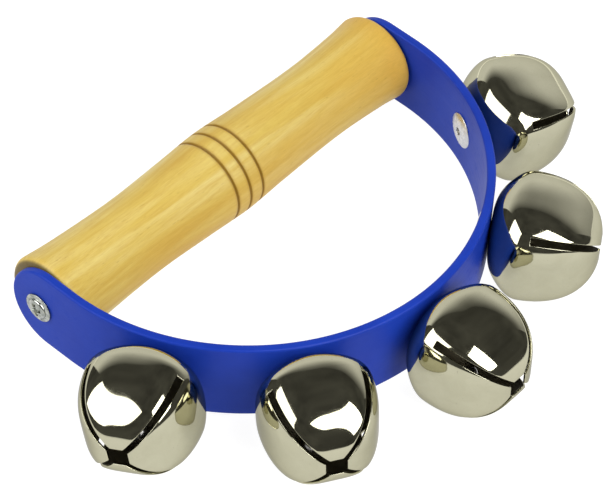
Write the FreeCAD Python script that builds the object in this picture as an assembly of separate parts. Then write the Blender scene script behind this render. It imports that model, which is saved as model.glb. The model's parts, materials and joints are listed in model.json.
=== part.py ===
import FreeCAD, Part
import math
import os

# Hand sleigh bells: a turned wooden grip closed by a bent plastic strap that carries a row of
# four-petal jingle bells, each held by a blind rivet and holding one loose steel pellet.
#
# Frame, in millimetres: the origin is the centre of the grip, +X runs along the grip, the strap
# bulges towards -Y, and +Z points straight across the strap's width.

Vec = FreeCAD.Vector

# ---------------------------------------------------------------- driving dimensions
GRIP_LENGTH = 120.0
GRIP_END_RADIUS = 12.0
GRIP_WAIST_RADIUS = 10.6
GRIP_BULGE_RADIUS = 11.7
GRIP_EDGE_RADIUS = 1.8
LEFT_WAIST_X = -29.5
RIGHT_WAIST_X = 36.0
BULGE_X = 1.0
GROOVE_PITCH = 4.4
GROOVE_COUNT = 3
GROOVE_WIDTH = 1.0
GROOVE_DEPTH = 0.35

STRAP_WIDTH = 23.2
STRAP_THICKNESS = 2.3
STRAP_DEPTH = 69.5              # grip axis to the strap's mid-thickness at its apex
STRAP_STRAIGHT = 10.0           # straight run of each leg below the grip axis
SHOULDER_TURN = 31.6            # degrees that each leg turns on the shoulder radius
STRAP_END_CENTRE_Y = -2.4       # centre of each rounded strap end
STRAP_EDGE_RADIUS = 0.6

BELL_COUNT = 5
BELL_PITCH = 35.0               # along the strap's mid-thickness, bell to bell and bell to screw
BELL_FLAT_RADIUS = 14.4         # half the width across two facing petals
BELL_DOME_HEIGHT = 9.1
BELL_PETAL_HEIGHT = 18.5
BELL_SEAT_RADIUS = 3.5
BELL_TIP_RADIUS = 1.6
BELL_SHEET = 0.6
DOME_POWER = 0.85               # exponent of the dome's flattened outline
EQUATOR_SQUARENESS = 3.04       # superellipse exponents of the section, 2 being a circle
TIP_SQUARENESS = 4.7
SLOT_WIDTH = 2.0
SLOT_START = 10.5               # distance of the slots' upper ends from the seat
TIP_HOLE = 5.3
BELL_TURNS = [10.6, 3.7, 2.3, 3.0, 9.3]   # degrees that each bell has turned on its rivet
BELL_GAP = 0.1                  # running gap on each side of the bell's seat

RIVET_RADIUS = 2.4
RIVET_FLANGE_RADIUS = 4.75
RIVET_FLANGE_HEIGHT = 1.1
RIVET_RIM_HEIGHT = 0.385        # cylindrical edge of the flange, below its dome
RIVET_DOME_RADIUS = 3.325       # place on the dome's curve, with its height
RIVET_DOME_HEIGHT = 0.88
RIVET_TAIL_RADIUS = 3.5
RIVET_TAIL_LENGTH = 3.2
RIVET_TAIL_BELLY = 1.5          # distance of the tail's widest place from its end
RIVET_TAIL_FOOT_RADIUS = 3.1    # where the tail bears on the bell
RIVET_EYE_RADIUS = 1.35
RIVET_CLEARANCE = 0.08          # radial, in the bell; the strap's hole fits the rivet closely
RIVET_SEAT_CLEARANCE = 0.1      # radial, round the flange in its pressed seat
MANDREL_HEAD_RADIUS = 2.1
MANDREL_HEAD_LENGTH = 1.4
MANDREL_TAPER = 0.6             # share of the head's radius and length where its taper begins
MANDREL_BREAK_DEPTH = 0.9       # below the flange's outer face

PELLET_RADIUS = 3.5
PELLET_GAP = 0.5                # left between the pellet and the petal that it lies on
PELLET_STATION = 12.0           # distance of the pellet from the bell's seat

SCREW_HEAD_RADIUS = 4.0
SCREW_HEAD_HEIGHT = 1.5
SCREW_RIM_HEIGHT = 0.525
SCREW_SHOULDER_RADIUS = 3.44    # place on the head's rounded shoulder, with its height
SCREW_SHOULDER_HEIGHT = 1.23
SCREW_CROWN_RADIUS = 2.2        # flat top of the head
SCREW_SHANK_RADIUS = 1.9
SCREW_LENGTH = 24.0
SCREW_POINT = 4.0
SCREW_HOLE_CLEARANCE = 0.2
RECESS_SPAN = 4.4
RECESS_WIDTH = 0.9
RECESS_DEPTH = 1.1

REACH = 200.0                   # larger than the object, for cutting shapes
X_AXIS = Vec(1, 0, 0)
Y_AXIS = Vec(0, 1, 0)
Z_AXIS = Vec(0, 0, 1)
ORIGIN = Vec(0, 0, 0)
HALF_SPAN = GRIP_LENGTH / 2 + STRAP_THICKNESS / 2


# ---------------------------------------------------------------- strap centreline
def solve_strap_radii():
    """Shoulder and apex radii that bring both arcs tangent to each other and to the legs."""
    sine = math.sin(math.radians(SHOULDER_TURN))
    cosine = math.cos(math.radians(SHOULDER_TURN))
    drop = STRAP_DEPTH - STRAP_STRAIGHT
    determinant = (1 - cosine) * (1 - sine) - cosine * sine
    shoulder = (HALF_SPAN * (1 - sine) - drop * cosine) / determinant
    apex = (drop * (1 - cosine) - HALF_SPAN * sine) / determinant
    return shoulder, apex


SHOULDER_RADIUS, APEX_RADIUS = solve_strap_radii()
SHOULDER_CENTRE = Vec(HALF_SPAN - SHOULDER_RADIUS, -STRAP_STRAIGHT, 0)
APEX_CENTRE = Vec(0, APEX_RADIUS - STRAP_DEPTH, 0)


def strap_point(from_screw):
    """Point and outward normal on the left half's mid-thickness, at a distance from the screw."""
    shoulder_length = SHOULDER_RADIUS * math.radians(SHOULDER_TURN)
    if from_screw < STRAP_STRAIGHT:
        return Vec(-HALF_SPAN, -from_screw, 0), Vec(-1, 0, 0)
    if from_screw < STRAP_STRAIGHT + shoulder_length:
        turned = (from_screw - STRAP_STRAIGHT) / SHOULDER_RADIUS
        centre, radius = Vec(-SHOULDER_CENTRE.x, SHOULDER_CENTRE.y, 0), SHOULDER_RADIUS
    else:
        beyond = from_screw - STRAP_STRAIGHT - shoulder_length
        turned = math.radians(SHOULDER_TURN) + beyond / APEX_RADIUS
        centre, radius = APEX_CENTRE, APEX_RADIUS
    normal = Vec(-math.cos(turned), -math.sin(turned), 0)
    return centre + normal * radius, normal


def bell_station(index):
    """Point on the strap's mid-thickness and outward normal of one bell, from the left."""
    middle = (BELL_COUNT - 1) / 2
    from_left = min(index, BELL_COUNT - 1 - index)
    half_length = (STRAP_STRAIGHT + SHOULDER_RADIUS * math.radians(SHOULDER_TURN)
                   + APEX_RADIUS * math.radians(90 - SHOULDER_TURN))
    point, normal = strap_point(half_length - (middle - from_left) * BELL_PITCH)
    if index > middle:
        point, normal = Vec(-point.x, point.y, 0), Vec(-normal.x, normal.y, 0)
    return point, normal


def place_on_strap(shape, index, offset=0.0, turn=0.0):
    """Move a shape built along +Z from z = 0 onto the strap's mid-thickness, facing outwards."""
    point, normal = bell_station(index)
    along = Vec(-normal.y, normal.x, 0)
    base = point + normal * offset
    matrix = FreeCAD.Matrix(along.x, 0, normal.x, base.x,
                            along.y, 0, normal.y, base.y,
                            along.z, 1, normal.z, base.z,
                            0, 0, 0, 1)
    placed = shape.copy()
    placed.rotate(ORIGIN, Z_AXIS, turn)
    placed.Placement = FreeCAD.Placement(matrix).multiply(placed.Placement)
    return placed


# ---------------------------------------------------------------- helpers
def arc_edge(centre, radius, start_degrees, end_degrees):
    """Edge of a circle in the XY plane, between two angles."""
    angles = [start_degrees, (start_degrees + end_degrees) / 2, end_degrees]
    points = [centre + Vec(radius * math.cos(math.radians(a)), radius * math.sin(math.radians(a)), 0)
              for a in angles]
    return Part.Arc(*points).toShape()


def revolve_outline(points, axis=Z_AXIS):
    """Solid of revolution of a closed polygon that touches the axis or stays off it."""
    wire = Part.makePolygon(points + [points[0]])
    return Part.Face(wire).revolve(ORIGIN, axis, 360)


# ---------------------------------------------------------------- grip and its screws
def grip_outline():
    """Turned outline between the rounded ends: flares, two waists and a low bulge."""
    end_x = GRIP_LENGTH / 2
    edge_x = end_x - GRIP_EDGE_RADIUS
    flare_middle = (GRIP_END_RADIUS + GRIP_WAIST_RADIUS) / 2
    bulge_middle = (GRIP_BULGE_RADIUS + GRIP_WAIST_RADIUS) / 2
    outline = Part.BSplineCurve()
    outline.interpolate([
        Vec(-edge_x, GRIP_END_RADIUS, 0),
        Vec(-end_x * 0.83, flare_middle, 0),
        Vec(LEFT_WAIST_X, GRIP_WAIST_RADIUS, 0),
        Vec(BULGE_X - 13, bulge_middle, 0),
        Vec(BULGE_X, GRIP_BULGE_RADIUS, 0),
        Vec(BULGE_X + 13, bulge_middle, 0),
        Vec(RIGHT_WAIST_X, GRIP_WAIST_RADIUS, 0),
        Vec(end_x * 0.86, flare_middle, 0),
        Vec(edge_x, GRIP_END_RADIUS, 0),
    ])
    return outline


def burned_ring(outline, ring_x):
    """Cutter for one shallow ring, sunk below the outline's own radius at that place."""
    upright = Part.LineSegment(Vec(ring_x, 0, 0), Vec(ring_x, 2 * GRIP_END_RADIUS, 0))
    surface = outline.intersect(upright)[0].Y
    mouth = GROOVE_WIDTH / 2
    floor = GROOVE_WIDTH / 4
    return revolve_outline([
        Vec(ring_x - floor, surface - GROOVE_DEPTH, 0),
        Vec(ring_x + floor, surface - GROOVE_DEPTH, 0),
        Vec(ring_x + mouth, surface, 0),
        Vec(ring_x + mouth, surface + 1, 0),
        Vec(ring_x - mouth, surface + 1, 0),
        Vec(ring_x - mouth, surface, 0),
    ], X_AXIS)


def make_grip():
    """Grip with rounded ends, three burned rings round its middle and the screws' two holes."""
    end_x = GRIP_LENGTH / 2
    edge_x = end_x - GRIP_EDGE_RADIUS
    flat_radius = GRIP_END_RADIUS - GRIP_EDGE_RADIUS
    outline = grip_outline()
    edges = [
        Part.makeLine(Vec(-end_x, 0, 0), Vec(-end_x, flat_radius, 0)),
        arc_edge(Vec(-edge_x, flat_radius, 0), GRIP_EDGE_RADIUS, 180, 90),
        outline.toShape(),
        arc_edge(Vec(edge_x, flat_radius, 0), GRIP_EDGE_RADIUS, 90, 0),
        Part.makeLine(Vec(end_x, flat_radius, 0), Vec(end_x, 0, 0)),
        Part.makeLine(Vec(end_x, 0, 0), Vec(-end_x, 0, 0)),
    ]
    grip = Part.Face(Part.Wire(edges)).revolve(ORIGIN, X_AXIS, 360)
    for index in range(GROOVE_COUNT):
        grip = grip.cut(burned_ring(outline, (index - (GROOVE_COUNT - 1) / 2) * GROOVE_PITCH))
    for side in (-1, 1):
        grip = grip.cut(screw_shank(side))
    return grip


def screw_shank(side):
    """Shank and point of one screw, which is also the hole that it cuts in the grip."""
    under_head = GRIP_LENGTH / 2 + STRAP_THICKNESS
    start = Vec(side * under_head, 0, 0)
    inwards = Vec(-side, 0, 0)
    straight = SCREW_LENGTH - SCREW_POINT
    shank = Part.makeCylinder(SCREW_SHANK_RADIUS, straight, start, inwards)
    point = Part.makeCone(SCREW_SHANK_RADIUS, 0, SCREW_POINT, start + inwards * straight, inwards)
    return shank.fuse(point).removeSplitter()


def make_screw(side):
    """Pan-head wood screw with a cross recess, its head on the strap's outer face."""
    profile = Part.Wire([
        Part.makeLine(Vec(0, 0, 0), Vec(SCREW_HEAD_RADIUS, 0, 0)),
        Part.makeLine(Vec(SCREW_HEAD_RADIUS, 0, 0), Vec(SCREW_HEAD_RADIUS, 0, SCREW_RIM_HEIGHT)),
        Part.Arc(Vec(SCREW_HEAD_RADIUS, 0, SCREW_RIM_HEIGHT),
                 Vec(SCREW_SHOULDER_RADIUS, 0, SCREW_SHOULDER_HEIGHT),
                 Vec(SCREW_CROWN_RADIUS, 0, SCREW_HEAD_HEIGHT)).toShape(),
        Part.makeLine(Vec(SCREW_CROWN_RADIUS, 0, SCREW_HEAD_HEIGHT), Vec(0, 0, SCREW_HEAD_HEIGHT)),
        Part.makeLine(Vec(0, 0, SCREW_HEAD_HEIGHT), Vec(0, 0, 0)),
    ])
    head = Part.Face(profile).revolve(ORIGIN, Z_AXIS, 360)
    floor_height = SCREW_HEAD_HEIGHT - RECESS_DEPTH
    taper = Part.makeCone(RECESS_WIDTH, RECESS_SPAN / 2, RECESS_DEPTH, Vec(0, 0, floor_height))
    for turn in (45, 135):
        bar = Part.makeBox(RECESS_SPAN, RECESS_WIDTH, RECESS_DEPTH,
                           Vec(-RECESS_SPAN / 2, -RECESS_WIDTH / 2, floor_height))
        bar.rotate(ORIGIN, Z_AXIS, turn)
        head = head.cut(bar.common(taper))
    head.rotate(ORIGIN, Y_AXIS, side * 90)
    head.translate(Vec(side * (GRIP_LENGTH / 2 + STRAP_THICKNESS), 0, 0))
    return head.fuse(screw_shank(side)).removeSplitter()


# ---------------------------------------------------------------- strap
def strap_band():
    """Bent band of full width: two straight legs, two shoulder arcs and the apex arc."""
    half = STRAP_THICKNESS / 2
    top = STRAP_END_CENTRE_Y + STRAP_WIDTH / 2
    turn = SHOULDER_TURN
    left_centre = Vec(-SHOULDER_CENTRE.x, SHOULDER_CENTRE.y, 0)
    sides = []
    for offset in (half, -half):
        leg_x = HALF_SPAN + offset
        sides.append([
            Part.makeLine(Vec(-leg_x, top, 0), Vec(-leg_x, -STRAP_STRAIGHT, 0)),
            arc_edge(left_centre, SHOULDER_RADIUS + offset, 180, 180 + turn),
            arc_edge(APEX_CENTRE, APEX_RADIUS + offset, 180 + turn, 360 - turn),
            arc_edge(SHOULDER_CENTRE, SHOULDER_RADIUS + offset, 360 - turn, 360),
            Part.makeLine(Vec(leg_x, -STRAP_STRAIGHT, 0), Vec(leg_x, top, 0)),
        ])
    outer, inner = sides
    caps = [Part.makeLine(Vec(side * (HALF_SPAN + half), top, 0), Vec(side * (HALF_SPAN - half), top, 0))
            for side in (-1, 1)]
    wire = Part.Wire(Part.__sortEdges__(outer + inner + caps))
    band = Part.Face(wire).extrude(Vec(0, 0, STRAP_WIDTH))
    band.translate(Vec(0, 0, -STRAP_WIDTH / 2))
    return band


def make_strap():
    """Band with rounded ends and edges, screw holes, rivet holes and the rivets' pressed seats."""
    half_width = STRAP_WIDTH / 2
    ends = Part.makeCylinder(half_width, 2 * REACH, Vec(-REACH, STRAP_END_CENTRE_Y, 0), X_AXIS)
    below = Part.makeBox(2 * REACH, REACH, STRAP_WIDTH,
                         Vec(-REACH, STRAP_END_CENTRE_Y - REACH, -half_width))
    strap = strap_band().common(ends.fuse(below)).removeSplitter()
    strap = strap.makeFillet(STRAP_EDGE_RADIUS, long_edges(strap))
    for side in (-1, 1):
        hole = Part.makeCylinder(SCREW_SHANK_RADIUS + SCREW_HOLE_CLEARANCE, 4 * STRAP_THICKNESS,
                                 Vec(side * (HALF_SPAN - 2 * STRAP_THICKNESS), 0, 0), Vec(side, 0, 0))
        strap = strap.cut(hole)
    rivet_hole = Part.makeCylinder(RIVET_RADIUS, 4 * STRAP_THICKNESS, Vec(0, 0, -2 * STRAP_THICKNESS))
    pressed_seat = Part.makeCylinder(RIVET_FLANGE_RADIUS + RIVET_SEAT_CLEARANCE, STRAP_THICKNESS,
                                     Vec(0, 0, -1.5 * STRAP_THICKNESS))
    for index in range(BELL_COUNT):
        strap = strap.cut(place_on_strap(rivet_hole.fuse(pressed_seat), index))
    return strap


def long_edges(strap):
    """Edges that run round the outlines of the strap's two faces, not through its thickness."""
    return [edge for edge in strap.Edges if edge.Length > 2 * STRAP_THICKNESS]


# ---------------------------------------------------------------- bells
def bell_section(station, half_width, squareness):
    """Closed superellipse across the bell's axis, flat-sided towards +X, -X, +Y and -Y."""
    points = []
    for degrees in range(0, 360, 15):
        cosine = math.cos(math.radians(degrees))
        sine = math.sin(math.radians(degrees))
        reach = half_width * (abs(cosine) ** squareness + abs(sine) ** squareness) ** (-1 / squareness)
        points.append(Vec(reach * cosine, reach * sine, station))
    curve = Part.BSplineCurve()
    curve.interpolate(points, PeriodicFlag=True)
    return Part.Wire(curve.toShape())


def squareness_at(station):
    """A circle at the seat, growing into a soft square down to the tip."""
    if station < BELL_DOME_HEIGHT:
        start = 0.3 * BELL_DOME_HEIGHT
        blend = max(0.0, (station - start) / (BELL_DOME_HEIGHT - start))
        return 2 + (EQUATOR_SQUARENESS - 2) * blend
    blend = min(1.0, (station - BELL_DOME_HEIGHT) / BELL_PETAL_HEIGHT)
    return EQUATOR_SQUARENESS + (TIP_SQUARENESS - EQUATOR_SQUARENESS) * blend


def bell_form(inset):
    """Solid inside the bell's outer skin, or inside its inner skin when inset by the sheet."""
    flat = BELL_FLAT_RADIUS - inset
    seat = BELL_SEAT_RADIUS - inset
    tip = BELL_TIP_RADIUS - inset / 3
    dome = BELL_DOME_HEIGHT - inset
    petals = BELL_PETAL_HEIGHT - inset
    sections = [bell_section(inset, seat, squareness_at(inset))]
    for degrees in (10, 25, 40, 55, 72, 90):
        sine = math.sin(math.radians(degrees))
        cosine = abs(math.cos(math.radians(degrees)))
        station = inset + dome * (1 - cosine ** DOME_POWER)
        half_width = seat + (flat - seat) * sine ** DOME_POWER
        sections.append(bell_section(station, half_width, squareness_at(station)))
    for degrees in (15, 30, 45, 60, 75, 90):
        station = inset + dome + petals * math.sin(math.radians(degrees))
        half_width = tip + (flat - tip) * math.cos(math.radians(degrees))
        sections.append(bell_section(station, half_width, squareness_at(station)))
    return Part.makeLoft(sections, True, False)


def make_bell_shell():
    """Thin bell along +Z from its seat: a domed back, four petals, cross slots and a tip hole."""
    shell = bell_form(0.0).cut(bell_form(BELL_SHEET))
    height = BELL_DOME_HEIGHT + BELL_PETAL_HEIGHT
    cutters = []
    for turn in (45, 135):
        slot = Part.makeBox(4 * BELL_FLAT_RADIUS, SLOT_WIDTH, height,
                            Vec(-2 * BELL_FLAT_RADIUS, -SLOT_WIDTH / 2, SLOT_START))
        slot.rotate(ORIGIN, Z_AXIS, turn)
        cutters.append(slot)
    cutters.append(Part.makeBox(TIP_HOLE, TIP_HOLE, height,
                                Vec(-TIP_HOLE / 2, -TIP_HOLE / 2, height / 2)))
    cutters.append(Part.makeCylinder(RIVET_RADIUS + RIVET_CLEARANCE, 3 * BELL_SHEET,
                                     Vec(0, 0, -BELL_SHEET)))
    for cutter in cutters:
        shell = shell.cut(cutter)
    return shell


def make_pellet(index):
    """Loose steel ball lying on the lowest part of its bell's inside."""
    point, normal = bell_station(index)
    seat = STRAP_THICKNESS / 2 + BELL_GAP
    centre = point + normal * (seat + PELLET_STATION)
    drop = BELL_FLAT_RADIUS - BELL_SHEET - PELLET_RADIUS - PELLET_GAP
    return Part.makeSphere(PELLET_RADIUS, centre - Z_AXIS * drop)


# ---------------------------------------------------------------- rivets
def make_rivet():
    """Blind rivet along +Z: a low domed flange inside the strap and a swollen tail in the bell."""
    seat = -STRAP_THICKNESS / 2
    tail_start = STRAP_THICKNESS / 2 + BELL_SHEET + 2 * BELL_GAP
    tail_end = tail_start + RIVET_TAIL_LENGTH
    rim = seat - RIVET_RIM_HEIGHT
    eye = RIVET_EYE_RADIUS
    edges = [
        Part.makeLine(Vec(eye, 0, seat - RIVET_FLANGE_HEIGHT), Vec(eye, 0, tail_end)),
        Part.makeLine(Vec(eye, 0, tail_end), Vec(RIVET_RADIUS, 0, tail_end)),
        Part.Arc(Vec(RIVET_RADIUS, 0, tail_end), Vec(RIVET_TAIL_RADIUS, 0, tail_end - RIVET_TAIL_BELLY),
                 Vec(RIVET_TAIL_FOOT_RADIUS, 0, tail_start)).toShape(),
        Part.makeLine(Vec(RIVET_TAIL_FOOT_RADIUS, 0, tail_start), Vec(RIVET_RADIUS, 0, tail_start)),
        Part.makeLine(Vec(RIVET_RADIUS, 0, tail_start), Vec(RIVET_RADIUS, 0, seat)),
        Part.makeLine(Vec(RIVET_RADIUS, 0, seat), Vec(RIVET_FLANGE_RADIUS, 0, seat)),
        Part.makeLine(Vec(RIVET_FLANGE_RADIUS, 0, seat), Vec(RIVET_FLANGE_RADIUS, 0, rim)),
        Part.Arc(Vec(RIVET_FLANGE_RADIUS, 0, rim),
                 Vec(RIVET_DOME_RADIUS, 0, seat - RIVET_DOME_HEIGHT),
                 Vec(eye, 0, seat - RIVET_FLANGE_HEIGHT)).toShape(),
    ]
    return Part.Face(Part.Wire(edges)).revolve(ORIGIN, Z_AXIS, 360)


def make_mandrel():
    """Snapped-off mandrel: a stub in the rivet's eye with its head against the tail."""
    start = -STRAP_THICKNESS / 2 - RIVET_FLANGE_HEIGHT + MANDREL_BREAK_DEPTH
    tail_end = STRAP_THICKNESS / 2 + BELL_SHEET + 2 * BELL_GAP + RIVET_TAIL_LENGTH
    return revolve_outline([
        Vec(0, 0, start),
        Vec(RIVET_EYE_RADIUS, 0, start),
        Vec(RIVET_EYE_RADIUS, 0, tail_end),
        Vec(MANDREL_HEAD_RADIUS, 0, tail_end),
        Vec(MANDREL_HEAD_RADIUS, 0, tail_end + MANDREL_HEAD_LENGTH * MANDREL_TAPER),
        Vec(MANDREL_HEAD_RADIUS * MANDREL_TAPER, 0, tail_end + MANDREL_HEAD_LENGTH),
        Vec(0, 0, tail_end + MANDREL_HEAD_LENGTH),
    ])


# ---------------------------------------------------------------- assembly
def make_all_nodes():
    nodes = {
        "grip": make_grip(),
        "strap": make_strap(),
        "left_screw": make_screw(-1),
        "right_screw": make_screw(1),
    }
    shell = make_bell_shell()
    rivet = make_rivet()
    mandrel = make_mandrel()
    for index in range(BELL_COUNT):
        number = index + 1
        seat = STRAP_THICKNESS / 2 + BELL_GAP
        nodes["bell_shell_%d" % number] = place_on_strap(shell, index, seat, BELL_TURNS[index])
        nodes["pellet_%d" % number] = make_pellet(index)
        nodes["rivet_%d" % number] = place_on_strap(rivet, index)
        nodes["rivet_mandrel_%d" % number] = place_on_strap(mandrel, index)
    return nodes


def main():
    os.makedirs("parts", exist_ok=True)
    for name, shape in make_all_nodes().items():
        shape.exportStep(os.path.join("parts", name + ".step"))


main()
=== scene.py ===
import json
import math

import bmesh
import bpy
from mathutils import Matrix, Vector, noise


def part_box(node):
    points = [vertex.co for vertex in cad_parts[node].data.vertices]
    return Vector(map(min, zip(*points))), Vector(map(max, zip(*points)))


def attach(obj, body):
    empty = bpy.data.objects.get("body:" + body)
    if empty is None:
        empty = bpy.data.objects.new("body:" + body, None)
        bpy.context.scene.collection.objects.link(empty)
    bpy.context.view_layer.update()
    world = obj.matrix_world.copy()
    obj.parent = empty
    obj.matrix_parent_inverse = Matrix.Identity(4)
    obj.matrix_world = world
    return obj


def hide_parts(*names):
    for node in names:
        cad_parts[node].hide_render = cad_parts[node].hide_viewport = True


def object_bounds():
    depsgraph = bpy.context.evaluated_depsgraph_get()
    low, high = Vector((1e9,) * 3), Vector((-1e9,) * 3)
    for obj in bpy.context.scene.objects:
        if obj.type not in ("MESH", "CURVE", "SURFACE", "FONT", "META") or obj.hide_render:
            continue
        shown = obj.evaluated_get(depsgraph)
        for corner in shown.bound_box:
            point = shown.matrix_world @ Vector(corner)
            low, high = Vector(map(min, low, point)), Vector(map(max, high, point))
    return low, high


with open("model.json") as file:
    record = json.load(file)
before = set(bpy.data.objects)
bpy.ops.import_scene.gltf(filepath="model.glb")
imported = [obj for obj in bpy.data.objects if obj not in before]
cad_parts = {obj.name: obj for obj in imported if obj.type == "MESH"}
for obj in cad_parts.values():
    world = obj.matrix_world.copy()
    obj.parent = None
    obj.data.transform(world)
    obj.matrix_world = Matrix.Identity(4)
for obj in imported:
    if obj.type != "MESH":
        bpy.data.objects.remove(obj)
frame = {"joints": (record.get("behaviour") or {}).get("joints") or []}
cad_low, cad_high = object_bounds()

MM = 0.001
joints = {joint["name"]: joint for joint in frame["joints"]}

# ---------------------------------------------------------------- sizes, in metres
STRAP_THICKNESS = 2.3 * MM
STRAP_STRAIGHT = 10.0 * MM              # straight run of each leg below the grip's axis
STRAP_EDGE = 0.65 * MM
SHOULDER_TURN = math.radians(31.6)      # turn of each leg on the shoulder radius

GRIP_FULL = 12.0 * MM
GRIP_WAIST = 10.6 * MM
GRIP_BULGE = 11.7 * MM
LEFT_WAIST_X = -29.5 * MM
RIGHT_WAIST_X = 36 * MM
BULGE_X = 1 * MM
GRIP_END_ROUND = 1.8 * MM
GROOVE_PITCH = 4.4 * MM
GROOVE_WIDTH = 1.0 * MM
GROOVE_DEPTH = 0.38 * MM

BELL_COUNT = 5
BELL_FLAT = 14.4 * MM                   # half the width across two facing petals
BELL_DOME = 9.1 * MM
BELL_PETALS = 18.5 * MM
BELL_SEAT = 3.5 * MM
BELL_TIP = 1.6 * MM
BELL_SHEET = 0.6 * MM
BELL_GAP = 0.1 * MM
BELL_RIM = 0.16 * MM                    # round on the sheet's cut edges
DOME_POWER = 0.85                       # exponent of the dome's flattened outline
EQUATOR_SQUARENESS = 3.04               # superellipse exponents of the section, 2 being a circle
TIP_SQUARENESS = 4.7
SLOT_WIDTH = 2.0 * MM
SLOT_NARROWING = 0.25                   # share of its width that a slot loses on its way to the tip
SLOT_START = 10.5 * MM
TIP_HOLE = 5.3 * MM
BELL_TURNS = [10.6, 3.7, 2.3, 3.0, 9.3]     # degrees that each bell has turned on its rivet
PELLET = 3.5 * MM

RIVET_FLANGE = 4.75 * MM
RIVET_HEIGHT = 1.1 * MM
RIVET_DISH = 0.68 * MM                  # fall of the flange's dome towards its rim
RIVET_TUBE = 2.4 * MM
RIVET_HOLE = 2.48 * MM
RIVET_EYE = 1.0 * MM
RIVET_LIP = 0.15 * MM
RIVET_RIM = 0.2 * MM
RIVET_TAIL = 3.2 * MM
MANDREL_HEAD = 2.1 * MM
MANDREL_LENGTH = 1.4 * MM
RIVET_TURN = 37.0                       # degrees from one rivet to the next, so that no two look alike

SCREW_HEAD = 4.0 * MM
SCREW_HEIGHT = 1.5 * MM
SCREW_RING = 3.15 * MM                  # inner edge of the flat outer ring
SCREW_RING_HEIGHT = 0.72 * MM
SCREW_GROOVE_HEIGHT = 0.50 * MM
SCREW_STEP_HEIGHT = 0.62 * MM           # where the raised middle starts
SCREW_SHANK = 1.9 * MM
SCREW_LENGTH = 24 * MM
SCREW_POINT = 4 * MM
RECESS_DEPTH = 1.1 * MM

# ---------------------------------------------------------------- studio, in metres and degrees
MIDDLE = Vector((0, -0.040, 0))
CAMERA_AIM = Vector((-0.00376, -0.03336, 0.00087))
CAMERA_AZIMUTH, CAMERA_ELEVATION, CAMERA_ROLL = -51.2, 47.7, 3.85
CAMERA_DISTANCE = 0.8349
CAMERA_LENS, CAMERA_SENSOR = 200.6, 36
FLOOR_SIZE, FLOOR_GAP = 6, 0.05 * MM
FLOOR_GLOW, FLOOR_SEEN_GLOW = 0.60, 0.32    # the second is added where the camera looks at it
CEILING_DARK, CEILING_LIGHT = 0.04, 0.085
LEFT_SOFTBOX = dict(azimuth=-122.5, elevation=35, distance=0.75, width=0.69, height=0.56,
                    roll=12, power=3.7)
RIGHT_SOFTBOX = dict(azimuth=-2.3, elevation=45.2, distance=0.724, width=0.43, height=0.61,
                     roll=14, power=4.9)
PALE_WALL = dict(azimuth=122, elevation=18, distance=0.35, width=1.15, height=0.60,
                 roll=0, power=1.65)

grip_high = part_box("grip")[1]


# ---------------------------------------------------------------- mesh helpers
def shade_smooth(mesh):
    """Smooth shading on every face."""
    mesh.polygons.foreach_set("use_smooth", [True] * len(mesh.polygons))


def mesh_object(name, points, faces, material, uvs=None):
    """A smooth-shaded mesh from plain lists; uvs gives one pair for each point."""
    mesh = bpy.data.meshes.new(name)
    mesh.from_pydata([tuple(p) for p in points], [], faces)
    if uvs:
        layer = mesh.uv_layers.new(name="UVMap")
        for loop in mesh.loops:
            layer.data[loop.index].uv = uvs[loop.vertex_index]
    mesh.validate()
    shade_smooth(mesh)
    mesh.materials.append(material)
    piece = bpy.data.objects.new(name, mesh)
    bpy.context.scene.collection.objects.link(piece)
    return piece


def merge_close(piece, distance):
    """Weld points that lie together, and make the faces look outwards."""
    work = bmesh.new()
    work.from_mesh(piece.data)
    bmesh.ops.remove_doubles(work, verts=work.verts, dist=distance)
    bmesh.ops.dissolve_degenerate(work, dist=distance * 0.1, edges=work.edges)
    bmesh.ops.recalc_face_normals(work, faces=work.faces)
    work.to_mesh(piece.data)
    work.free()


def lathe(name, profile, material, steps=64):
    """Surface of revolution about Z from (radius, height) pairs, with angle and radius as its UV."""
    points, uvs = [], []
    for step in range(steps):
        angle = 2 * math.pi * step / steps
        for radius, height in profile:
            points.append((radius * math.cos(angle), radius * math.sin(angle), height))
            uvs.append((step / steps, radius / MM))
    count = len(profile)
    faces = []
    for step in range(steps):
        here = step * count
        there = (step + 1) % steps * count
        for row in range(count - 1):
            faces.append((here + row, there + row, there + row + 1, here + row + 1))
    piece = mesh_object(name, points, faces, material, uvs)
    merge_close(piece, 1e-6)
    return piece


def apply_modifiers(piece):
    """Turn a piece's modifiers into plain mesh."""
    graph = bpy.context.evaluated_depsgraph_get()
    mesh = bpy.data.meshes.new_from_object(piece.evaluated_get(graph))
    piece.modifiers.clear()
    piece.data = mesh


def cut_away(piece, cutter):
    """Boolean difference; the cutter is removed."""
    modifier = piece.modifiers.new("cut", "BOOLEAN")
    modifier.operation = "DIFFERENCE"
    modifier.solver = "EXACT"
    modifier.object = cutter
    bpy.context.view_layer.update()
    apply_modifiers(piece)
    bpy.data.objects.remove(cutter)


def bevel(piece, width, segments, degrees):
    """Small rounds along the sharp edges."""
    modifier = piece.modifiers.new("round", "BEVEL")
    modifier.width = width
    modifier.segments = segments
    modifier.limit_method = "ANGLE"
    modifier.angle_limit = math.radians(degrees)
    bpy.context.view_layer.update()
    apply_modifiers(piece)


def arc_points(centre, radius, start, end, steps):
    """Points of a circular arc between two angles in degrees."""
    points = []
    for step in range(steps + 1):
        angle = math.radians(start + (end - start) * step / steps)
        points.append((centre[0] + radius * math.cos(angle), centre[1] + radius * math.sin(angle)))
    return points


def install(piece, body, slot, *nodes):
    """The piece moves with its body and stands for CAD nodes, which are hidden; slot is not used."""
    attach(piece, body)
    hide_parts(*nodes)


# ---------------------------------------------------------------- node helpers
def set_range(node, low, high, to_low, to_high):
    """The four numbers of a Map Range node."""
    for name, number in zip(("From Min", "From Max", "To Min", "To Max"), (low, high, to_low, to_high)):
        node.inputs[name].default_value = number


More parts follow.
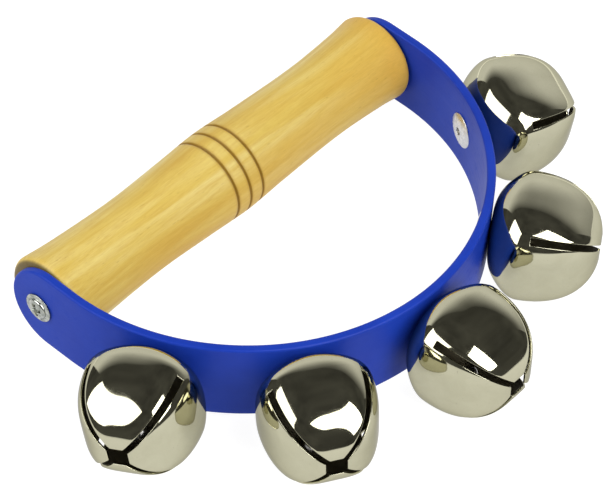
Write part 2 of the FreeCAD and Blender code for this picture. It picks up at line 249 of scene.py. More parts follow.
def smooth_range(tree, value, low, high, to_low, to_high):
    """Value carried from one range to another, with soft ends."""
    node = tree.nodes.new("ShaderNodeMapRange")
    node.interpolation_type = "SMOOTHSTEP"
    set_range(node, low, high, to_low, to_high)
    tree.links.new(value, node.inputs["Value"])
    return node.outputs["Result"]


class Shader:
    """A material's node tree with short calls for the nodes that these finishes use."""

    def __init__(self, name):
        self.material = bpy.data.materials.new(name)
        self.material.use_nodes = True
        self.tree = self.material.node_tree
        self.surface = self.tree.nodes["Principled BSDF"]
        self.coordinates = self.tree.nodes.new("ShaderNodeTexCoord")

    def set(self, **values):
        """Plain values of the surface's inputs."""
        for name, value in values.items():
            self.surface.inputs[name.replace("_", " ")].default_value = value

    def link(self, output, socket):
        """Joins an output to one of the surface's inputs."""
        self.tree.links.new(output, self.surface.inputs[socket])

    def join(self, output, target):
        """Joins an output to any input."""
        self.tree.links.new(output, target)

    def mapped(self, scale, source="Object", rotation=(0, 0, 0)):
        """Object or UV coordinates, stretched and turned."""
        node = self.tree.nodes.new("ShaderNodeMapping")
        node.inputs["Scale"].default_value = scale
        node.inputs["Rotation"].default_value = rotation
        self.join(self.coordinates.outputs[source], node.inputs["Vector"])
        return node.outputs["Vector"]

    def noise(self, vector, scale=1.0, detail=3.0, roughness=0.5, distortion=0.0):
        """Grey noise pattern."""
        node = self.tree.nodes.new("ShaderNodeTexNoise")
        node.inputs["Scale"].default_value = scale
        node.inputs["Detail"].default_value = detail
        node.inputs["Roughness"].default_value = roughness
        node.inputs["Distortion"].default_value = distortion
        self.join(vector, node.inputs["Vector"])
        return node.outputs["Fac"]

    def ramp(self, value, stops):
        """Colour from a value, through (position, colour) stops."""
        node = self.tree.nodes.new("ShaderNodeValToRGB")
        elements = node.color_ramp.elements
        while len(elements) < len(stops):
            elements.new(0.5)
        for element, (position, colour) in zip(elements, stops):
            element.position = position
            element.color = (*colour, 1)
        self.join(value, node.inputs["Fac"])
        return node.outputs["Color"]

    def math(self, operation, first, second=0.0, third=0.0):
        """One sum, of plain numbers or outputs."""
        node = self.tree.nodes.new("ShaderNodeMath")
        node.operation = operation
        for socket, value in zip(node.inputs, (first, second, third)):
            if isinstance(value, (int, float)):
                socket.default_value = value
            else:
                self.join(value, socket)
        return node.outputs["Value"]

    def remap(self, value, low, high, to_low, to_high):
        """Value carried from one range to another, with soft ends."""
        return smooth_range(self.tree, value, low, high, to_low, to_high)

    def mix(self, factor, first, second):
        """Blend of two colours."""
        node = self.tree.nodes.new("ShaderNodeMix")
        node.data_type = "RGBA"
        for name, value in (("Factor", factor), ("A", first), ("B", second)):
            socket = next(entry for entry in node.inputs if entry.name == name and entry.enabled)
            if isinstance(value, (int, float)):
                socket.default_value = value
            elif isinstance(value, tuple):
                socket.default_value = (*value, 1)
            else:
                self.join(value, socket)
        return next(entry for entry in node.outputs if entry.enabled)

    def axis(self, vector, name):
        """One axis of a vector."""
        node = self.tree.nodes.new("ShaderNodeSeparateXYZ")
        self.join(vector, node.inputs["Vector"])
        return node.outputs[name]

    def bump(self, height, strength, distance):
        """Fine relief on the surface."""
        node = self.tree.nodes.new("ShaderNodeBump")
        node.inputs["Strength"].default_value = strength
        node.inputs["Distance"].default_value = distance
        self.join(height, node.inputs["Height"])
        self.link(node.outputs["Normal"], "Normal")


# ---------------------------------------------------------------- finishes
def wood_finish():
    """Clear-varnished pale hardwood turned between centres, with scorched rings."""
    shader = Shader("varnished_wood")
    figure = shader.noise(shader.mapped((14, 190, 190)), 1.0, 3.0, 0.55, 0.6)
    streaks = shader.noise(shader.mapped((45, 900, 900)), 1.0, 4.0, 0.65, 0.4)
    fibres = shader.noise(shader.mapped((260, 5200, 5200)), 1.0, 2.0, 0.6)
    flecks = shader.noise(shader.mapped((420, 2600, 2600)), 1.0, 2.0, 0.5)
    base = shader.ramp(figure, [(0.30, (0.68, 0.43, 0.068)), (0.50, (0.77, 0.56, 0.125)),
                                (0.70, (0.85, 0.68, 0.23))])
    warmth = shader.noise(shader.mapped((11, 45, 45)), 1.0, 2.0, 0.5)
    along = shader.axis(shader.coordinates.outputs["Object"], "X")
    blush = shader.math("ADD", shader.remap(along, 30 * MM, grip_high.x, 0.0, 0.40),
                        shader.remap(along, 50 * MM, grip_high.x, 0.0, 0.45))
    heartwood = shader.math("ADD", shader.remap(warmth, 0.46, 0.66, 0.0, 0.5), blush)
    warmed = shader.mix(heartwood, base, (0.74, 0.44, 0.07))
    streaked = shader.mix(shader.remap(streaks, 0.44, 0.72, 0.0, 0.38), warmed, (0.64, 0.38, 0.055))
    fibred = shader.mix(shader.remap(fibres, 0.35, 0.75, 0.0, 0.22), streaked, (0.50, 0.27, 0.04))
    flecked = shader.mix(shader.remap(flecks, 0.66, 0.76, 0.0, 0.35), fibred, (0.42, 0.22, 0.035))
    from_middle = shader.math("ABSOLUTE", along)
    # Darker band at the rounded ends: painted shade where the wood meets the strap, together with darker
    # end grain.
    end_grain_and_shade = shader.remap(from_middle, grip_high.x - 0.85 * MM, grip_high.x - 0.15 * MM, 0.0, 0.88)
    burned_and_shaded = shader.mix(end_grain_and_shade, flecked, (0.10, 0.07, 0.025))
    for place in (-GROOVE_PITCH, 0.0, GROOVE_PITCH):
        distance = shader.math("ABSOLUTE", shader.math("SUBTRACT", along, place))
        wobble = shader.math("MULTIPLY_ADD", streaks, 0.25 * MM, -0.12 * MM)
        edge = shader.math("ADD", distance, wobble)
        halo = shader.remap(edge, 0.40 * MM, 1.3 * MM, 0.35, 0.0)
        core = shader.remap(edge, 0.22 * MM, 0.62 * MM, 0.92, 0.0)
        burned_and_shaded = shader.mix(halo, burned_and_shaded, (0.50, 0.25, 0.03))
        burned_and_shaded = shader.mix(core, burned_and_shaded, (0.26, 0.135, 0.008))
    shader.link(burned_and_shaded, "Base Color")
    shader.link(shader.remap(streaks, 0.3, 0.7, 0.36, 0.48), "Roughness")
    shader.set(Coat_Weight=0.05, Coat_Roughness=0.3, Specular_IOR_Level=0.22)
    height = shader.math("ADD", shader.math("MULTIPLY", fibres, 0.35),
                         shader.math("MULTIPLY", streaks, 0.65))
    shader.bump(height, 0.25, 0.06 * MM)
    return shader.material


def plastic_finish():
    """Royal blue semi-gloss plastic strip with drawing lines along it and faint handling marks."""
    shader = Shader("blue_plastic")
    cloud = shader.noise(shader.mapped((60, 60, 60)), 1.0, 4.0, 0.6)
    lines = shader.noise(shader.mapped((30, 1400, 1), "UV"), 1.0, 3.0, 0.6)
    grain = shader.noise(shader.mapped((2600, 2600, 2600)), 1.0, 2.0, 0.5)
    marks = shader.noise(shader.mapped((320, 320, 320)), 1.0, 5.0, 0.75, 1.2)
    colour = shader.ramp(cloud, [(0.30, (0.008, 0.038, 0.39)), (0.70, (0.012, 0.052, 0.47))])
    scuffed = shader.mix(shader.remap(marks, 0.64, 0.74, 0.0, 0.06), colour, (0.05, 0.11, 0.58))
    shader.link(scuffed, "Base Color")
    gloss = shader.math("ADD", shader.remap(lines, 0.3, 0.7, 0.40, 0.45),
                        shader.remap(marks, 0.5, 0.8, 0.0, 0.12))
    shader.link(gloss, "Roughness")
    shader.set(Specular_IOR_Level=0.17)
    height = shader.math("ADD", shader.math("MULTIPLY", lines, 0.7), shader.math("MULTIPLY", grain, 0.3))
    shader.bump(height, 0.06, 0.03 * MM)
    return shader.material


def nickel_finish():
    """Polished nickel plating: slow ripples left by the press, buffing lines and faint smears."""
    shader = Shader("polished_nickel")
    smears = shader.noise(shader.mapped((160, 160, 160)), 1.0, 5.0, 0.6, 0.5)
    buffing = shader.noise(shader.mapped((5200, 700, 700), rotation=(0.3, 0.7, 0.2)), 1.0, 3.0, 0.6)
    pits = shader.noise(shader.mapped((2400, 2400, 2400)), 1.0, 1.0, 0.4)
    ripples = shader.noise(shader.mapped((130, 130, 130)), 1.0, 1.0, 0.4)
    tint = shader.ramp(smears, [(0.25, (0.57, 0.55, 0.395)), (0.75, (0.625, 0.605, 0.445))])
    pitted = shader.mix(shader.remap(pits, 0.72, 0.80, 0.0, 0.35), tint, (0.30, 0.28, 0.22))
    shader.link(pitted, "Base Color")
    rough = shader.math("ADD", shader.remap(smears, 0.35, 0.75, 0.035, 0.095),
                        shader.math("MULTIPLY", buffing, 0.02))
    shader.link(rough, "Roughness")
    shader.set(Metallic=1.0, Specular_Tint=(0.62, 0.61, 0.56, 1))
    height = shader.math("MULTIPLY_ADD", buffing, 0.004, ripples)
    shader.bump(height, 0.06, 0.25 * MM)
    return shader.material


def shaded_inside_finish():
    """Dull plating that the polish never reached, inside the bells, darkened as painted shade."""
    shader = Shader("dull_inside_painted_shade")
    stains = shader.noise(shader.mapped((420, 420, 420)), 1.0, 5.0, 0.65)
    # The dark colours are painted shade inside the bells.
    colour = shader.ramp(stains, [(0.3, (0.11, 0.095, 0.055)), (0.7, (0.20, 0.175, 0.11))])
    shader.link(colour, "Base Color")
    shader.link(shader.remap(stains, 0.3, 0.7, 0.50, 0.65), "Roughness")
    shader.set(Metallic=0.6)
    shader.bump(stains, 0.3, 0.05 * MM)
    return shader.material


def turned_metal(name, dark, light, rough_low, rough_high, line_depth):
    """Bright metal with stains, and on a lathed piece fine marks round its axis, read from its UV."""
    shader = Shader(name)
    rings = shader.noise(shader.mapped((3.0, 9.0, 1.0), "UV"), 1.0, 4.0, 0.7)
    stains = shader.noise(shader.mapped((900, 900, 900)), 1.0, 4.0, 0.6)
    shader.link(shader.ramp(stains, [(0.30, dark), (0.65, light)]), "Base Color")
    shader.link(shader.remap(stains, 0.3, 0.7, rough_high, rough_low), "Roughness")
    shader.set(Metallic=1.0)
    shader.bump(rings, line_depth, 0.05 * MM)
    return shader.material


WOOD = wood_finish()
PLASTIC = plastic_finish()
NICKEL = nickel_finish()
SHADED_INSIDE = shaded_inside_finish()
ZINC = turned_metal("bright_zinc", (0.30, 0.32, 0.29), (0.60, 0.62, 0.57), 0.12, 0.26, 0.25)
ALUMINIUM = turned_metal("satin_aluminium", (0.66, 0.66, 0.67), (0.85, 0.85, 0.86), 0.22, 0.38, 0.20)
WIRE = turned_metal("mandrel_wire", (0.30, 0.28, 0.22), (0.52, 0.50, 0.42), 0.35, 0.55, 0.3)
STEEL = turned_metal("pellet_steel", (0.42, 0.41, 0.39), (0.62, 0.61, 0.59), 0.16, 0.34, 0.1)


# ---------------------------------------------------------------- strap
strap_low, strap_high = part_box("strap")
HALF_SPAN = strap_high.x - STRAP_THICKNESS / 2
STRAP_DEPTH = -strap_low.y - STRAP_THICKNESS / 2
STRAP_HALF_WIDTH = strap_high.z
STRAP_END_CENTRE = strap_high.y - STRAP_HALF_WIDTH


def strap_radii():
    """Radii that bring the shoulder and apex arcs tangent to each other and to the legs."""
    sine, cosine = math.sin(SHOULDER_TURN), math.cos(SHOULDER_TURN)
    drop = STRAP_DEPTH - STRAP_STRAIGHT
    determinant = (1 - cosine) * (1 - sine) - cosine * sine
    shoulder = (HALF_SPAN * (1 - sine) - drop * cosine) / determinant
    apex = (drop * (1 - cosine) - HALF_SPAN * sine) / determinant
    return shoulder, apex


SHOULDER_RADIUS, APEX_RADIUS = strap_radii()
HALF_LENGTH = (STRAP_STRAIGHT + SHOULDER_RADIUS * SHOULDER_TURN
               + APEX_RADIUS * (math.pi / 2 - SHOULDER_TURN))


def strap_place(distance):
    """Point and outward normal on the mid-thickness, at a distance from the left screw."""
    mirrored = distance > HALF_LENGTH
    if mirrored:
        distance = 2 * HALF_LENGTH - distance
    if distance < STRAP_STRAIGHT:
        point, normal = Vector((-HALF_SPAN, -distance, 0)), Vector((-1, 0, 0))
    else:
        turned = (distance - STRAP_STRAIGHT) / SHOULDER_RADIUS
        centre, radius = Vector((SHOULDER_RADIUS - HALF_SPAN, -STRAP_STRAIGHT, 0)), SHOULDER_RADIUS
        if turned > SHOULDER_TURN:
            beyond = (turned - SHOULDER_TURN) * SHOULDER_RADIUS
            turned = SHOULDER_TURN + beyond / APEX_RADIUS
            centre, radius = Vector((0, APEX_RADIUS - STRAP_DEPTH, 0)), APEX_RADIUS
        normal = Vector((-math.cos(turned), -math.sin(turned), 0))
        point = centre + normal * radius
    if mirrored:
        point.x, normal.x = -point.x, -normal.x
    return point, normal


def strap_outline(inset, arc_steps, run_steps):
    """Half outline of the flat strip from end to end, as (distance, half width) pairs."""
    radius = STRAP_HALF_WIDTH - inset
    near = -STRAP_END_CENTRE
    far = 2 * HALF_LENGTH + STRAP_END_CENTRE
    outline = []
    for step in range(arc_steps):
        angle = math.pi / 2 * step / arc_steps
        outline.append((near - radius * math.cos(angle), radius * math.sin(angle)))
    for step in range(run_steps + 1):
        outline.append((near + (far - near) * step / run_steps, radius))
    for step in range(arc_steps - 1, -1, -1):
        angle = math.pi / 2 * step / arc_steps
        outline.append((far + radius * math.cos(angle), radius * math.sin(angle)))
    return outline


def make_strap():
    """Bent strip with rounded ends and soft edges, as one closed quad skin."""
    half = STRAP_THICKNESS / 2
    edge_steps, columns = 8, 12
    rounds = []
    for step in range(edge_steps + 1):
        angle = math.pi / 2 * step / edge_steps
        rounds.append((STRAP_EDGE * (1 - math.sin(angle)), half - STRAP_EDGE * (1 - math.cos(angle))))
    outlines = {inset: strap_outline(inset, 24, 220) for inset, rise in rounds}
    flat = outlines[STRAP_EDGE]
    stations = len(flat)
    points, uvs = [], []
    for station in range(stations):
        ring = []
        for side in (1, -1):
            across = [side * (1 - 2 * column / columns) for column in range(1, columns)]
            distance, width = flat[station]
            ring += [(distance, width * share, side * half) for share in across]
            edge = [(*outlines[inset][station], rise) for inset, rise in rounds]
            ring += [(place, -side * wide, side * rise) for place, wide, rise in edge]
            ring += [(place, -side * wide, -side * rise) for place, wide, rise in reversed(edge)]
        for distance, across, out in ring:
            on_curve = min(max(distance, 0.0), 2 * HALF_LENGTH)
            point, normal = strap_place(on_curve)
            point = point + Vector((0, abs(distance - on_curve), 0))
            points.append(point + normal * out + Vector((0, 0, across)))
            uvs.append((distance, across))
    size = len(points) // stations
    faces = []
    for station in range(stations - 1):
        for index in range(size):
            following = (index + 1) % size
            here, there = station * size, (station + 1) * size
            faces.append((here + index, here + following, there + following, there + index))
    strap = mesh_object("bent_strap", points, faces, PLASTIC, uvs)
    merge_close(strap, 2e-6)
    install(strap, "grip_frame", "strap_plastic", "strap")


# ---------------------------------------------------------------- grip
def smooth_radius(x, stations):
    """Cubic curve through (x, radius) stations, with slopes taken from their neighbours."""
    slopes = []
    for index in range(len(stations)):
        before = stations[max(index - 1, 0)]
        after = stations[min(index + 1, len(stations) - 1)]
        slopes.append((after[1] - before[1]) / (after[0] - before[0]))
    for index in range(len(stations) - 1):
        (x0, y0), (x1, y1) = stations[index], stations[index + 1]
        if x <= x1:
            break
    span = x1 - x0
    t = min(max((x - x0) / span, 0.0), 1.0)
    return (y0 * (2 * t ** 3 - 3 * t ** 2 + 1) + slopes[index] * span * (t ** 3 - 2 * t ** 2 + t)
            + y1 * (3 * t ** 2 - 2 * t ** 3) + slopes[index + 1] * span * (t ** 3 - t ** 2))


def grip_radius(x):
    """Turned radius, with the three rings sunk into it."""
    end = grip_high.x
    edge = end - GRIP_END_ROUND
    flare, swell = (GRIP_FULL + GRIP_WAIST) / 2, (GRIP_BULGE + GRIP_WAIST) / 2
    stations = [(-edge, GRIP_FULL), (-0.83 * end, flare), (LEFT_WAIST_X, GRIP_WAIST),
                (BULGE_X - 13 * MM, swell), (BULGE_X, GRIP_BULGE), (BULGE_X + 13 * MM, swell),
                (RIGHT_WAIST_X, GRIP_WAIST), (0.86 * end, flare), (edge, GRIP_FULL)]
    radius = smooth_radius(x, stations)
    for place in (-GROOVE_PITCH, 0.0, GROOVE_PITCH):
        reach = abs(x - place) / (GROOVE_WIDTH / 2)
        if reach < 1:
            radius -= GROOVE_DEPTH * (0.5 + 0.5 * math.cos(math.pi * reach))
    return radius


def make_grip():
    """Turned bar along X with rounded ends, a hair out of round and with faint tool chatter."""
    end = grip_high.x
    edge = end - GRIP_END_ROUND
    flat = GRIP_FULL - GRIP_END_ROUND
    profile = [(-end, 0.0), (-end, flat * 0.5)]
    profile += [(-edge + dx, flat + dr) for dx, dr in arc_points((0, 0), GRIP_END_ROUND, 180, 90, 8)]
    x = -edge + 0.6 * MM
    while x < edge - 0.3 * MM:
        profile.append((x, grip_radius(x)))
        x += 0.1 * MM if abs(x) < GROOVE_PITCH + GROOVE_WIDTH else 0.8 * MM
    profile += [(edge + dx, flat + dr) for dx, dr in arc_points((0, 0), GRIP_END_ROUND, 90, 0, 8)]
    profile += [(end, flat * 0.5), (end, 0.0)]
    steps = 160
    points = []
    for step in range(steps):
        angle = 2 * math.pi * step / steps
        for x, radius in profile:
            chatter = 0.035 * MM * noise.noise(Vector((x / MM / 4, math.cos(angle), math.sin(angle))))
            reach = max(radius + min(chatter, 0.0), 0.0)
            points.append((x, reach * math.cos(angle), reach * math.sin(angle)))
    count = len(profile)
    faces = []
    for step in range(steps):
        here, there = step * count, (step + 1) % steps * count
        for row in range(count - 1):
            faces.append((here + row, here + row + 1, there + row + 1, there + row))
    grip = mesh_object("turned_grip", points, faces, WOOD)
    merge_close(grip, 1e-6)
    install(grip, "grip_frame", "grip_wood", "grip")


# ---------------------------------------------------------------- bells
def on_strap(number, offset, turn=0.0):
    """Matrix that stands a piece built along +Z on the strap at one bell, facing outwards."""
    joint = joints["bell_%d_turn" % number]
    normal = Vector(joint["axis"]).normalized()
    base = Vector(joint["pos_m"]) + normal * offset
    along = Vector((-normal.y, normal.x, 0))
    columns = Matrix((along, Vector((0, 0, 1)), normal)).transposed().to_4x4()
    return Matrix.Translation(base) @ columns @ Matrix.Rotation(math.radians(turn), 4, "Z")


def squareness(station):
    """A circle at the seat, growing into a soft square down to the tip."""
    if station < BELL_DOME:
        share = max(0.0, station / BELL_DOME - 0.2) / 0.8
        return 2 + (EQUATOR_SQUARENESS - 2) * share * share * (3 - 2 * share)
    share = min(1.0, (station - BELL_DOME) / BELL_PETALS)
    return EQUATOR_SQUARENESS + (TIP_SQUARENESS - EQUATOR_SQUARENESS) * share * share


def bell_point(latitude, angle):
    """Point of the outer skin: latitude 0 is the seat, 1 the equator and 2 the tip."""
    if latitude <= 1:
        turn = latitude * math.pi / 2
        station = BELL_DOME * (1 - abs(math.cos(turn)) ** DOME_POWER)
        flat = BELL_SEAT + (BELL_FLAT - BELL_SEAT) * math.sin(turn) ** DOME_POWER
    else:
        turn = (latitude - 1) * math.pi / 2
        station = BELL_DOME + BELL_PETALS * math.sin(turn)
        flat = BELL_TIP + (BELL_FLAT - BELL_TIP) * math.cos(turn)
    power = squareness(station)
    cosine, sine = math.cos(angle), math.sin(angle)
    reach = flat * (abs(cosine) ** power + abs(sine) ** power) ** (-1 / power)
    return Vector((reach * cosine, reach * sine, station))


def latitude_where(test):
    """Latitude at which a test turns true, by halving."""
    low, high = 0.0, 2.0
    for _ in range(40):
        middle = (low + high) / 2
        if test(middle):
            high = middle
        else:
            low = middle
    return high


def make_bell_skin():
    """Outer skin of one bell as a grid of quads: the dome all round, then four petals."""
    dome_rows, petal_rows, columns = 26, 44, 30
    slot_latitude = latitude_where(lambda latitude: bell_point(latitude, math.pi / 4).z > SLOT_START)
    points, faces = [], []

    def column_angle(column, latitude):
        corner = bell_point(latitude, math.pi / 4)
        narrowing = 1 - SLOT_NARROWING * max(0.0, latitude - slot_latitude) / (2 - slot_latitude)
        gap = math.asin(min(0.9, SLOT_WIDTH / 2 * narrowing / corner.xy.length))
        share = 2 * column / columns - 1
        return share * (math.pi / 4 - gap)

    def tip_latitude(column):
        def inside_hole(latitude):
            return bell_point(latitude, column_angle(column, latitude)).x < TIP_HOLE / 2
        return latitude_where(lambda latitude: latitude > 1 and inside_hole(latitude))

    ends = [tip_latitude(column) for column in range(columns + 1)]
    rows = dome_rows + petal_rows + 1
    # the ring's straight parts between the petals clear the rivet too
    seat_ring = RIVET_HOLE / math.cos(math.pi / 4 - column_angle(columns, 0.0))
    index = {}
    for petal in range(4):
        for row in range(-1, rows):
            for column in range(columns + 1):
                if row < 0:
                    angle = column_angle(column, 0.0)
                    point = Vector((seat_ring * math.cos(angle), seat_ring * math.sin(angle), 0))
                elif row <= dome_rows:
                    latitude = slot_latitude * row / dome_rows
                    point = bell_point(latitude, column_angle(column, latitude))
                else:
                    share = (row - dome_rows) / petal_rows
                    latitude = slot_latitude + (ends[column] - slot_latitude) * share
                    point = bell_point(latitude, column_angle(column, latitude))
                index[petal, row, column] = len(points)
                points.append(Matrix.Rotation(petal * math.pi / 2, 3, "Z") @ point)
        for row in range(-1, rows - 1):
            for column in range(columns):
                faces.append((index[petal, row, column], index[petal, row, column + 1],
                              index[petal, row + 1, column + 1], index[petal, row + 1, column]))
    for petal in range(4):
        following = (petal + 1) % 4
        for row in range(-1, dome_rows):
            faces.append((index[petal, row, columns], index[following, row, 0],
                          index[following, row + 1, 0], index[petal, row + 1, columns]))
    return points, faces


def make_bells():
    """Five shells from one skin, thickened inwards, with rounded rims along slots and holes."""
    points, faces = make_bell_skin()
    model = mesh_object("bell_model", points, faces, NICKEL)
    merge_close(model, 1e-6)
    sheet = model.modifiers.new("sheet", "SOLIDIFY")
    sheet.thickness = BELL_SHEET
    sheet.offset = -1
    sheet.use_even_offset = False
    # The inner face takes the darkened inside finish: painted shade inside the shells.
    model.data.materials.append(SHADED_INSIDE)
    sheet.material_offset = 1
    sheet.material_offset_rim = 0
    bpy.context.view_layer.update()
    apply_modifiers(model)
    bevel(model, BELL_RIM, 3, 50)
    for number in range(1, BELL_COUNT + 1):
        shell = bpy.data.objects.new("petal_bell_%d" % number, model.data.copy())
        bpy.context.scene.collection.objects.link(shell)
        seat = STRAP_THICKNESS / 2 + BELL_GAP
        shell.data.transform(on_strap(number, seat, BELL_TURNS[number - 1]))
        shade_smooth(shell.data)
        install(shell, "bell_%d" % number, "bell_nickel", "bell_shell_%d" % number)
    bpy.data.objects.remove(model)


def make_pellets():
    """Tumbled steel balls, not quite round."""
    for number in range(1, BELL_COUNT + 1):
        low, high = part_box("pellet_%d" % number)
        centre = (low + high) / 2
        work = bmesh.new()
        bmesh.ops.create_icosphere(work, subdivisions=4, radius=PELLET * 0.992)
        for vertex in work.verts:
            dent = noise.noise(vertex.co / (2.2 * MM) + Vector((number, 0, 0)))
            vertex.co *= 1 + 0.008 * dent
        mesh = bpy.data.meshes.new("steel_pellet_%d" % number)
        work.to_mesh(mesh)
        work.free()
        mesh.transform(Matrix.Translation(centre))
        shade_smooth(mesh)
        mesh.materials.append(STEEL)
        pellet = bpy.data.objects.new("steel_pellet_%d" % number, mesh)
        bpy.context.scene.collection.objects.link(pellet)
        install(pellet, "loose_pellet_%d" % number, "pellet_steel", "pellet_%d" % number)


# ---------------------------------------------------------------- rivets and screws
def make_rivets():
    """Blind rivets: a domed flange inside the strap, a tube through it and a swollen tail."""
    half = STRAP_THICKNESS / 2
    face = -half - RIVET_HEIGHT
    tail_start = half + BELL_SHEET + 2 * BELL_GAP
    tail_end = tail_start + RIVET_TAIL
    crown = [(RIVET_EYE, face + 3 * RIVET_LIP), (RIVET_EYE, face + RIVET_LIP)]
    crown += arc_points((RIVET_EYE + RIVET_LIP, face + RIVET_LIP), RIVET_LIP, 180, 270, 4)
    inner, outer = RIVET_EYE + 2 * RIVET_LIP, RIVET_FLANGE - 0.25 * MM
    for step in range(1, 13):
        share = step / 12
        crown.append((inner + (outer - inner) * share, face + RIVET_DISH * share ** 2.2))
    rim = arc_points((RIVET_FLANGE - RIVET_RIM, -half - RIVET_RIM), RIVET_RIM, -60, 60, 6)
    tail = [(3.0 * MM, tail_start), (3.35 * MM, tail_start + 0.5 * MM), (3.5 * MM, tail_start + 1.3 * MM),
            (3.2 * MM, tail_start + 2.2 * MM), (2.7 * MM, tail_end - 0.3 * MM), (2.5 * MM, tail_end)]
    profile = [(RIVET_EYE, tail_end), (RIVET_EYE, 0.0)] + crown + rim
    profile += [(RIVET_TUBE, -half), (RIVET_TUBE, tail_start)] + tail + [(RIVET_EYE, tail_end)]
    stub = RIVET_EYE - 0.02 * MM
    head_end = tail_end + MANDREL_LENGTH
    wire = [(0.0, -half - 0.46 * MM), (0.35 * MM, -half - 0.6 * MM), (0.7 * MM, -half - 0.4 * MM),
            (stub, -half), (stub, tail_end), (MANDREL_HEAD, tail_end),
            (MANDREL_HEAD, tail_end + 0.8 * MM), (1.3 * MM, head_end), (0.0, head_end)]
    for number in range(1, BELL_COUNT + 1):
        rivet = lathe("blind_rivet_%d" % number, profile, ALUMINIUM)
        rivet.data.transform(on_strap(number, 0.0, RIVET_TURN * number))
        install(rivet, "grip_frame", "rivet_aluminium", "rivet_%d" % number)
        mandrel = lathe("snapped_mandrel_%d" % number, wire, WIRE, 32)
        mandrel.data.transform(on_strap(number, 0.0, RIVET_TURN * number))
        install(mandrel, "grip_frame", "mandrel_steel", "rivet_mandrel_%d" % number)


def recess_bar(turn):
    """Tapered bar that cuts half of a screw's cross recess."""
    top, bottom = SCREW_HEIGHT + 0.2 * MM, SCREW_HEIGHT - RECESS_DEPTH
    rings = ((2.1 * MM, 0.58 * MM, top), (0.8 * MM, 0.36 * MM, bottom))
    points = [(right * length, back * width, height) for length, width, height in rings
              for right, back in ((-1, -1), (1, -1), (1, 1), (-1, 1))]
    faces = [(3, 2, 1, 0), (4, 5, 6, 7)]
    faces += [(side, (side + 1) % 4, (side + 1) % 4 + 4, side + 4) for side in range(4)]
    bar = mesh_object("recess_bar", points, faces, ZINC)
    bar.data.transform(Matrix.Rotation(math.radians(turn), 4, "Z"))
    merge_close(bar, 1e-7)
    return bar


def make_screws():
    """Pan-head screws with a rolled rim and a cross recess, on the strap's outer faces."""
    roll = 0.18 * MM
    profile = [(0.0, -SCREW_LENGTH), (SCREW_SHANK, SCREW_POINT - SCREW_LENGTH),
               (SCREW_SHANK, -0.001 * MM), (SCREW_HEAD - 0.1 * MM, 0.0)]
    profile += arc_points((SCREW_HEAD - roll, 2 * roll), roll, -60, 80, 6)
    profile += [(SCREW_RING, SCREW_RING_HEIGHT), (SCREW_RING - 0.16 * MM, SCREW_GROOVE_HEIGHT),
                (SCREW_RING - 0.28 * MM, SCREW_GROOVE_HEIGHT + 0.02 * MM)]
    middle = SCREW_RING - 0.36 * MM
    for step in range(13):
        angle = math.pi / 2 * step / 12
        height = SCREW_STEP_HEIGHT + (SCREW_HEIGHT - SCREW_STEP_HEIGHT) * math.sin(angle) ** 0.8
        profile.append((middle * math.cos(angle) ** 0.7, height))
    for side, name, turn in ((-1, "left", 20), (1, "right", 55)):
        screw = lathe("pan_screw_%s" % name, profile, ZINC)
        cut_away(screw, recess_bar(turn))
        cut_away(screw, recess_bar(turn + 90))
        bevel(screw, 0.07 * MM, 2, 40)
        face = side * (HALF_SPAN + STRAP_THICKNESS / 2)
        place = Matrix.Translation((face, 0, 0)) @ Matrix.Rotation(side * math.pi / 2, 4, "Y")
        screw.data.transform(place)
        shade_smooth(screw.data)
        install(screw, "grip_frame", "screw_zinc", "%s_screw" % name)


# ---------------------------------------------------------------- surroundings
def direction(azimuth, elevation):
    """Unit vector towards a place round the object; azimuth 0 is -Y and 90 is +X."""
    turn, rise = math.radians(azimuth), math.radians(elevation)
    return Vector((math.sin(turn) * math.cos(rise), -math.cos(turn) * math.cos(rise), math.sin(rise)))


def make_floor():
    """Plain sheet under the bells: white where the camera looks, greyer in reflections."""
    bpy.ops.mesh.primitive_plane_add(size=FLOOR_SIZE, location=(0, 0, cad_low.z - FLOOR_GAP))
    floor = bpy.context.object
    floor.name = "floor"
    shader = Shader("white_sheet")
    shader.set(Base_Color=(0.30, 0.30, 0.30, 1), Roughness=0.8, Specular_IOR_Level=0.0,
               Emission_Color=(1, 1, 1, 1))
    rays = shader.tree.nodes.new("ShaderNodeLightPath")
    glow = shader.math("MULTIPLY_ADD", rays.outputs["Is Camera Ray"], FLOOR_SEEN_GLOW, FLOOR_GLOW)
    shader.link(glow, "Emission Strength")
    floor.data.materials.append(shader.material)


def softbox(name, azimuth, elevation, distance, width, height, roll, power):
    """Rectangular soft light aimed at the middle of the object, turned by roll on its stand."""
    light = bpy.data.lights.new(name, "AREA")
    light.shape = "RECTANGLE"
    light.size, light.size_y = width, height
    light.energy = power
    lamp = bpy.data.objects.new(name, light)
    back = direction(azimuth, elevation)
    lamp.location = MIDDLE + back * distance
    lamp.rotation_mode = "QUATERNION"
    turned = Matrix.Rotation(math.radians(roll), 4, "Z").to_quaternion()
    lamp.rotation_quaternion = back.to_track_quat("Z", "Y") @ turned
    lamp.visible_camera = False
    bpy.context.scene.collection.objects.link(lamp)
    return lamp


def fade_panel(lamp):
    """Lets a panel's light fade along its height and across its width."""
    lamp.data.use_nodes = True
    tree = lamp.data.node_tree
    emission = tree.nodes["Emission"]
    place = tree.nodes.new("ShaderNodeNewGeometry")
    split = tree.nodes.new("ShaderNodeSeparateXYZ")
    tree.links.new(place.outputs["Parametric"], split.inputs["Vector"])
    product = tree.nodes.new("ShaderNodeMath")
    product.operation = "MULTIPLY"
    across = smooth_range(tree, split.outputs["X"], 0.02, 0.457, 0.35, 1.0)
    upwards = smooth_range(tree, split.outputs["Y"], 0.60, 1.06, 1.0, 0.0)
    tree.links.new(across, product.inputs[0])
    tree.links.new(upwards, product.inputs[1])
    tree.links.new(product.outputs["Value"], emission.inputs["Strength"])


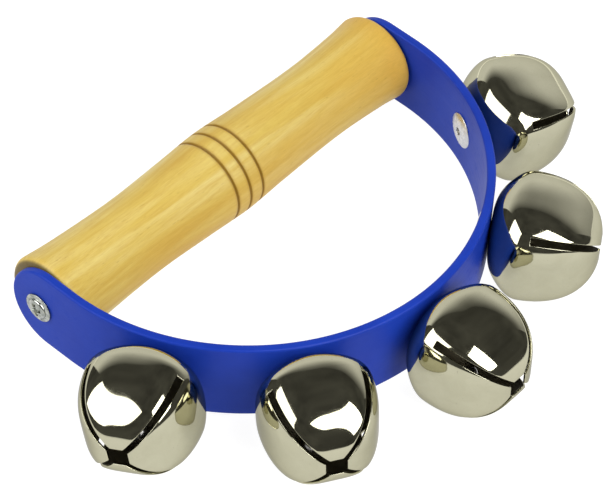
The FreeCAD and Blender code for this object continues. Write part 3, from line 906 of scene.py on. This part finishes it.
def make_world():
    """Dark studio ceiling, faintly uneven; white where the camera looks."""
    world = bpy.data.worlds.new("studio")
    bpy.context.scene.world = world
    world.use_nodes = True
    tree = world.node_tree
    tree.nodes.clear()
    coordinates = tree.nodes.new("ShaderNodeTexCoord")
    rays = tree.nodes.new("ShaderNodeLightPath")
    clouds = tree.nodes.new("ShaderNodeTexNoise")
    clouds.inputs["Scale"].default_value = 2.5
    tree.links.new(coordinates.outputs["Generated"], clouds.inputs["Vector"])
    level = tree.nodes.new("ShaderNodeMapRange")
    set_range(level, 0.3, 0.7, CEILING_DARK, CEILING_LIGHT)
    tree.links.new(clouds.outputs["Fac"], level.inputs["Value"])
    ceiling = tree.nodes.new("ShaderNodeBackground")
    ceiling.inputs["Color"].default_value = (1.0, 0.99, 0.94, 1)
    tree.links.new(level.outputs["Result"], ceiling.inputs["Strength"])
    paper = tree.nodes.new("ShaderNodeBackground")
    mix = tree.nodes.new("ShaderNodeMixShader")
    tree.links.new(rays.outputs["Is Camera Ray"], mix.inputs[0])
    tree.links.new(ceiling.outputs["Background"], mix.inputs[1])
    tree.links.new(paper.outputs["Background"], mix.inputs[2])
    paper.inputs["Color"].default_value = (1, 1, 1, 1)
    output = tree.nodes.new("ShaderNodeOutputWorld")
    tree.links.new(mix.outputs["Shader"], output.inputs["Surface"])


def make_camera():
    """Long lens looking down on the strap's left end, slightly rolled."""
    camera = bpy.data.cameras.new("camera")
    camera.sensor_width = CAMERA_SENSOR
    camera.lens = CAMERA_LENS
    camera.clip_end = 20
    eye = bpy.data.objects.new("camera", camera)
    location = MIDDLE + direction(CAMERA_AZIMUTH, CAMERA_ELEVATION) * CAMERA_DISTANCE
    look = (location - CAMERA_AIM).to_track_quat("Z", "Y")
    roll = Matrix.Rotation(math.radians(CAMERA_ROLL), 4, "Z").to_quaternion()
    eye.location = location
    eye.rotation_mode = "QUATERNION"
    eye.rotation_quaternion = look @ roll
    bpy.context.scene.collection.objects.link(eye)
    bpy.context.scene.camera = eye


make_camera()
make_strap()
make_grip()
make_bells()
make_pellets()
make_rivets()
make_screws()
make_floor()
softbox("left_softbox", **LEFT_SOFTBOX)
softbox("right_softbox", **RIGHT_SOFTBOX)
fade_panel(softbox("pale_wall", **PALE_WALL))
make_world()
bpy.context.scene.view_settings.view_transform = "Standard"
